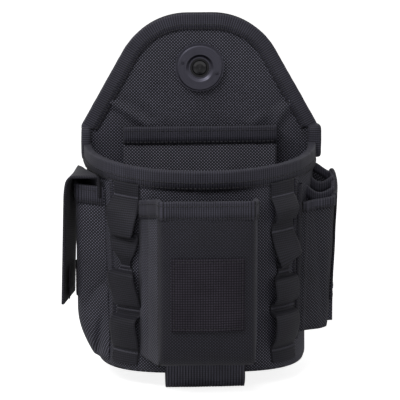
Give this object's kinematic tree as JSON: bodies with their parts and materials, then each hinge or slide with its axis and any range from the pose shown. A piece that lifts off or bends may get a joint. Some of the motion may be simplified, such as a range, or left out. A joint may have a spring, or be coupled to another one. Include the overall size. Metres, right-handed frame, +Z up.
{
  "type": "electrician tool pouch",
  "caption": "Stiff-walled fabric tool pouch with a bell-shaped back that hangs from a round quick-release hub, with side, front and inner pockets and webbing loops.",
  "frame": {"origin": "centre of the mouth of the belt-stud socket, on the rear face of the hub's flange", "axes": "+X to the wearer's left as seen from the front (right in the front view), +Y out of the socket towards the belt, +Z up"},
  "size_m": [0.2201, 0.1349, 0.2915],
  "materials": {
    "ballistic_nylon": "coarse basket-woven nylon, near black",
    "smooth_nylon": "plain-woven nylon lining, near black",
    "binding_tape": "ribbed woven nylon tape, near black",
    "webbing": "heavy woven nylon webbing, near black",
    "touch_tape": "hook-and-loop tape, near black",
    "stiff_board": "polyethylene board, matt",
    "thread": "bonded nylon thread",
    "black_anodised": "black anodised aluminium, satin",
    "button_plastic": "black moulded plastic, glossy",
    "spring_steel": "bright spring steel"
  },
  "bodies": {
    "pouch": {"back_panel_rear": "ballistic_nylon", "back_board": "stiff_board", "back_panel_front": "ballistic_nylon", "back_binding": "binding_tape", "bag_wall": "ballistic_nylon", "bag_wall_board": "stiff_board", "bag_wall_lining": "smooth_nylon", "bottom_panel": "ballistic_nylon", "bottom_board": "stiff_board", "bottom_lining": "smooth_nylon", "rim_binding": "binding_tape", "left_seam": "binding_tape", "right_seam": "binding_tape", "inner_pocket": "ballistic_nylon", "inner_pocket_binding": "binding_tape", "front_pocket_gusset": "ballistic_nylon", "front_pocket_face": "ballistic_nylon", "front_pocket_binding": "binding_tape", "front_patch": "touch_tape", "left_pocket": "ballistic_nylon", "left_pocket_binding": "binding_tape", "right_pocket": "ballistic_nylon", "right_pocket_rear_divider": "ballistic_nylon", "right_pocket_front_divider": "ballistic_nylon", "right_pocket_band": "webbing", "flap_anchor": "webbing", "pocket_loop_tape": "touch_tape", "left_ladder": "webbing", "right_ladder": "webbing", "left_bar_tacks": "thread", "right_bar_tacks": "thread", "bottom_loop": "webbing", "left_corner_tab": "binding_tape", "right_corner_tab": "binding_tape", "hub_ring": "black_anodised", "hub_washer": "black_anodised", "hub_barrel": "black_anodised", "button_bush": "button_plastic", "button_spring": "spring_steel"},
    "flap": {"flap": "webbing", "flap_hook_tape": "touch_tape"},
    "button": {"release_button": "button_plastic"}
  },
  "joints": [
    {"name": "flap_hinge", "type": "hinge", "parent": "pouch", "child": "flap", "pos_m": [-0.08892, -0.04656, -0.0788], "axis": [-0.3414, 0.9399, 0], "range_deg": [0, 80]},
    {"name": "button_slide", "type": "slide", "parent": "pouch", "child": "button", "axis": [0, 1, 0], "range_m": [0, 0.0016], "stiffness_N_per_m": 900, "springref_m": -0.002, "deforming": ["button_spring"]}
  ]
}
